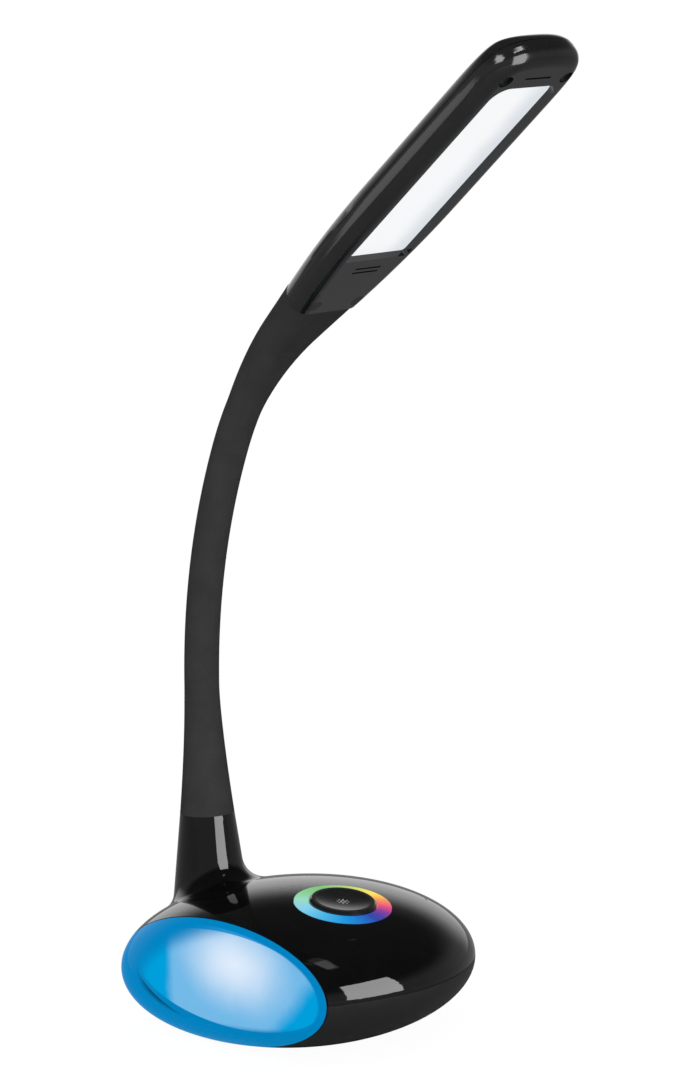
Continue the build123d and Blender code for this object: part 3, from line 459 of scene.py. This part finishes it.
# mm and degrees; bends are radius and angle, powers shape the widening of the foot and of the boot
neckShape = {
    "behind": 57.9, "foot": 93.0, "stem": 49.1, "bends": ((308.4, 24.4), (152.4, 27.0)), "boot": 23.4,
    "radius": 8.2, "footRadius": 12.8, "flareLong": 61.0, "flarePower": 1.5,
    "firstHinge": 25.0, "lastHinge": 201.0, "hinges": 7,
    "endHalfWide": 19.7, "endHalfHigh": 8.65, "bootPower": 1.3,
    "wall": 1.5, "rowStep": 1.2, "columns": 120, "softReach": 14.0,
}
neckLong = (neckShape["stem"] + neckShape["boot"]
            + sum(radius * math.radians(bend) for radius, bend in neckShape["bends"]))


def neckLine(along, shape):
    # the neck's middle line: a straight, two arcs that bow forward one after the other, and a straight;
    # gives x, z and the tilt from upright at each distance from the collar
    x = np.full_like(along, -shape["behind"])
    z = shape["foot"] + np.minimum(along, shape["stem"])
    tilt = np.zeros_like(along)
    past = along - shape["stem"]
    for radius, bend in shape["bends"]:
        step = np.clip(past / radius, 0.0, math.radians(bend))
        x += radius * (np.cos(tilt) - np.cos(tilt + step))
        z += radius * (np.sin(tilt + step) - np.sin(tilt))
        tilt += step
        past = past - radius * math.radians(bend)
    rest = np.maximum(past, 0.0)
    return x + rest * np.sin(tilt), z + rest * np.cos(tilt), tilt


def neckSurface(along, around, inset, shape):
    # a round section that thins from the foot, and from the last hinge on widens to the head's flat one:
    # two half circles as high as the section, drawn apart by what it is wider than high
    left = np.maximum(0.0, 1.0 - along / shape["flareLong"])
    thin = shape["radius"] + (shape["footRadius"] - shape["radius"]) * left ** shape["flarePower"]
    share = np.clip((along - shape["lastHinge"]) / (neckLong - shape["lastHinge"]), 0.0, 1.0)
    wide = thin + (shape["endHalfWide"] - shape["radius"]) * share ** shape["bootPower"]
    high = thin + (shape["endHalfHigh"] - shape["radius"]) * share
    apart = np.maximum(wide - high, 0.0)
    high = high - inset
    side = apart * np.sign(np.round(np.cos(around), 9)) + high * np.cos(around)
    up = high * np.sin(around)
    x, z, tilt = neckLine(along, shape)
    return np.stack([x - up * np.cos(tilt), side, z + up * np.sin(tilt)], axis=-1)


def neckSkin(index, shape):
    # the skin over one hinge: outside and inside walls joined at both ends
    pitch = (shape["lastHinge"] - shape["firstHinge"]) / (shape["hinges"] - 1)
    hinge = shape["firstHinge"] + pitch * index
    start = 0.0 if index == 0 else hinge - pitch / 2
    end = neckLong if index == shape["hinges"] - 1 else hinge + pitch / 2
    rows = 1 + int(math.ceil((end - start) / shape["rowStep"]))
    along = np.linspace(start, end, rows)[:, None] + np.zeros(shape["columns"])
    around = np.linspace(0.0, 2.0 * math.pi, shape["columns"], endpoint=False)[None, :] + np.zeros((rows, 1))
    outer = neckSurface(along, around, 0.0, shape)
    inner = neckSurface(along, around, shape["wall"], shape)[::-1]
    corners = np.concatenate([outer, inner]).reshape(-1, 3)
    skin = meshPiece(f"neck_skin_{index + 1}", corners, closedGrid(2 * rows, shape["columns"]),
                     "sleeve_soft")
    for at in (hinge - shape["softReach"], hinge + shape["softReach"]):
        x, z, tilt = neckLine(np.array([at]), shape)
        x[0] * mm
        z[0] * mm
    above = "head" if index == shape["hinges"] - 1 else f"neck_{index + 1}"
    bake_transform(skin)
    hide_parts(f"neck_sleeve_{index + 1}")
    if above == "head":
        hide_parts(f"neck_sleeve_{index + 2}")


for index in range(neckShape["hinges"]):
    neckSkin(index, neckShape)


print("setting the light")
floorLook = {"half": 4.0, "colour": (0.42, 0.42, 0.42), "shown": (0.07, 0.07, 0.07), "lift": 0.965}


def makeFloor(look):
    # pale floor; to the camera it is near white and keeps the lamp's shadow
    half = look["half"]     # metres
    corners = [(-half, -half, 0.0), (half, -half, 0.0), (half, half, 0.0), (-half, half, 0.0)]
    mesh = bpy.data.meshes.new("floor")
    mesh.from_pydata(corners, [], [[0, 1, 2, 3]])
    floor = bpy.data.objects.new("floor", mesh)
    scene.collection.objects.link(floor)
    made = bpy.data.materials.new("floor_paper")
    tree = Tree(made)
    path = tree.add("ShaderNodeLightPath", {}, {})
    seen = tree.math("MAXIMUM", Value(tree, path.outputs["Is Camera Ray"]),
                     Value(tree, path.outputs["Is Transmission Ray"]))
    plain = tree.add("ShaderNodeBsdfDiffuse", {}, {"Color": look["colour"]})
    shaded = tree.add("ShaderNodeBsdfDiffuse", {}, {"Color": look["shown"]})
    lift = tree.add("ShaderNodeEmission", {}, {"Color": (1.0, 1.0, 1.0), "Strength": look["lift"]})
    both = tree.add("ShaderNodeAddShader", {}, {0: shaded.outputs[0], 1: lift.outputs[0]})
    chosen = tree.add("ShaderNodeMixShader", {}, {0: seen, 1: plain.outputs[0], 2: both.outputs[0]})
    tree.add("ShaderNodeOutputMaterial", {}, {"Surface": chosen.outputs[0]})
    mesh.materials.append(made)


worldLook = {
    "ambient": 0.6,
    "backdropAt": 146.0, "backdropHalf": 38.0, "backdropSoft": 0.25,    # degrees from +X to +Y, radians
    "backdropTop": (10.0, 26.0),                                        # degrees up
    "low": 0.3, "lowTop": (12.0, 34.0), "high": 0.04,
}


def makeWorld(look):
    # white to the camera; reflections see the backdrop low on the far side and elsewhere a room that
    # is grey near the horizon and dark above
    world = bpy.data.worlds.new("studio")
    scene.world = world
    tree = Tree(world)
    path = tree.add("ShaderNodeLightPath", {}, {})
    direction = tree.add("ShaderNodeTexCoord", {}, {}).outputs["Generated"]
    split = tree.add("ShaderNodeSeparateXYZ", {}, {0: direction})
    x, y, z = [Value(tree, split.outputs[k]) for k in range(3)]
    rise = tree.math("ARCSINE", z) * math.degrees(1.0)
    at = math.radians(look["backdropAt"])
    level = tree.math("SQRT", x * x + y * y)
    facing = (x * math.cos(at) + y * math.sin(at)) / level
    half, soft = math.radians(look["backdropHalf"]), look["backdropSoft"]
    backdrop = facing.ramp(math.cos(half + soft), math.cos(half - soft))
    backdrop = backdrop * (1.0 - rise.ramp(*look["backdropTop"]))
    room = look["low"] + (look["high"] - look["low"]) * rise.ramp(*look["lowTop"])
    glossy = room + (1.0 - room) * backdrop
    isGlossy = Value(tree, path.outputs["Is Glossy Ray"])
    seen = tree.math("MAXIMUM", Value(tree, path.outputs["Is Camera Ray"]),
                     Value(tree, path.outputs["Is Transmission Ray"]))
    light = look["ambient"] + (glossy - look["ambient"]) * isGlossy
    strength = light + (1.0 - light) * seen
    sky = tree.add("ShaderNodeBackground", {}, {"Color": (1.0, 1.0, 1.0), "Strength": strength})
    tree.add("ShaderNodeOutputWorld", {}, {"Surface": sky.outputs[0]})


# panels of light: the point that each faces, how far round from +X towards +Y and how high it stands from
# there in degrees, and the rest in metres; "shines" is matte for soft light without a mirror image, gloss
# for the mirror image alone, and head for both on the head alone
lampLooks = {
    "soft_box": {"faces": (0.0, 0.0, 0.525), "round": 4.0, "rise": 0.0, "distance": 1.25,
                 "size": (0.86, 1.05), "radiance": 6.6, "shines": "gloss"},
    "fill": {"faces": (0.0, 0.0, 0.25), "round": -35.0, "rise": 16.0, "distance": 1.7,
             "size": (1.2, 1.2), "radiance": 2.8, "shines": "matte"},
    "top_card": {"faces": (0.17, -0.017, 0.448), "round": 18.0, "rise": 57.0, "distance": 1.2,
                 "size": (0.62, 0.16), "radiance": 9.0, "shines": "head"},
    "side_card": {"faces": (0.165, -0.023, 0.446), "round": -80.0, "rise": 31.0, "distance": 1.2,
                  "size": (0.6, 0.5), "radiance": 7.5, "shines": "head"},
    "flank_card": {"faces": (0.09, 0.0, 0.39), "round": -129.0, "rise": -6.0, "distance": 1.2,
                   "size": (0.5, 0.42), "radiance": 1.2, "shines": "head"},
}

headPieces = bpy.data.collections.new("head_pieces")
for name in frame["record"]["behaviour"]["bodies"]["head"]:
    headPieces.objects.link(cadNodes[name])


def makeLamp(name, look):
    # a rectangular area lamp; its power is that of a panel of this size and radiance
    light = bpy.data.lights.new(name, "AREA")
    light.shape = "RECTANGLE"
    light.size, light.size_y = look["size"]
    light.energy = look["radiance"] * math.pi * look["size"][0] * look["size"][1]
    turn, rise = math.radians(look["round"]), math.radians(look["rise"])
    away = Vector((math.cos(turn) * math.cos(rise), math.sin(turn) * math.cos(rise), math.sin(rise)))
    lamp = bpy.data.objects.new(name, light)
    lamp.location = Vector(look["faces"]) + away * look["distance"]
    lamp.rotation_mode = "QUATERNION"
    lamp.rotation_quaternion = away.to_track_quat("Z", "Y")
    lamp.visible_glossy = look["shines"] != "matte"
    lamp.visible_diffuse = look["shines"] != "gloss"
    if look["shines"] == "head":
        lamp.light_linking.receiver_collection = headPieces
    scene.collection.objects.link(lamp)


makeFloor(floorLook)
makeWorld(worldLook)
for name, look in lampLooks.items():
    makeLamp(name, look)


print("placing the camera")
cameraView = {
    "round": 45.19, "rise": 9.18, "roll": -2.21,                # degrees
    "distance": 1700.0, "aside": 31.133, "height": 226.323,     # mm
    "lens": 124.59, "sensor": 36.0,
}


def makeCamera(view):
    # looks at a point beside the lamp's axis, from the front right and a little above
    turn, rise, roll = (math.radians(view[key]) for key in ("round", "rise", "roll"))
    back = Vector((math.sin(turn) * math.cos(rise), -math.cos(turn) * math.cos(rise), math.sin(rise)))
    level = Vector((math.cos(turn), math.sin(turn), 0.0))
    upright = back.cross(level)
    right = level * math.cos(roll) + upright * math.sin(roll)
    up = upright * math.cos(roll) - level * math.sin(roll)
    data = bpy.data.cameras.new("camera")
    data.sensor_fit = "VERTICAL"
    data.sensor_height = view["sensor"]
    data.lens = view["lens"]
    camera = bpy.data.objects.new("camera", data)
    scene.collection.objects.link(camera)
    aim = Vector((0.0, 0.0, view["height"])) + level * view["aside"]
    spot = (aim + back * view["distance"]) * mm
    camera.matrix_world = Matrix.Translation(spot) @ Matrix((right, up, back)).transposed().to_4x4()
    scene.camera = camera


makeCamera(cameraView)
scene.view_settings.view_transform = "Standard"
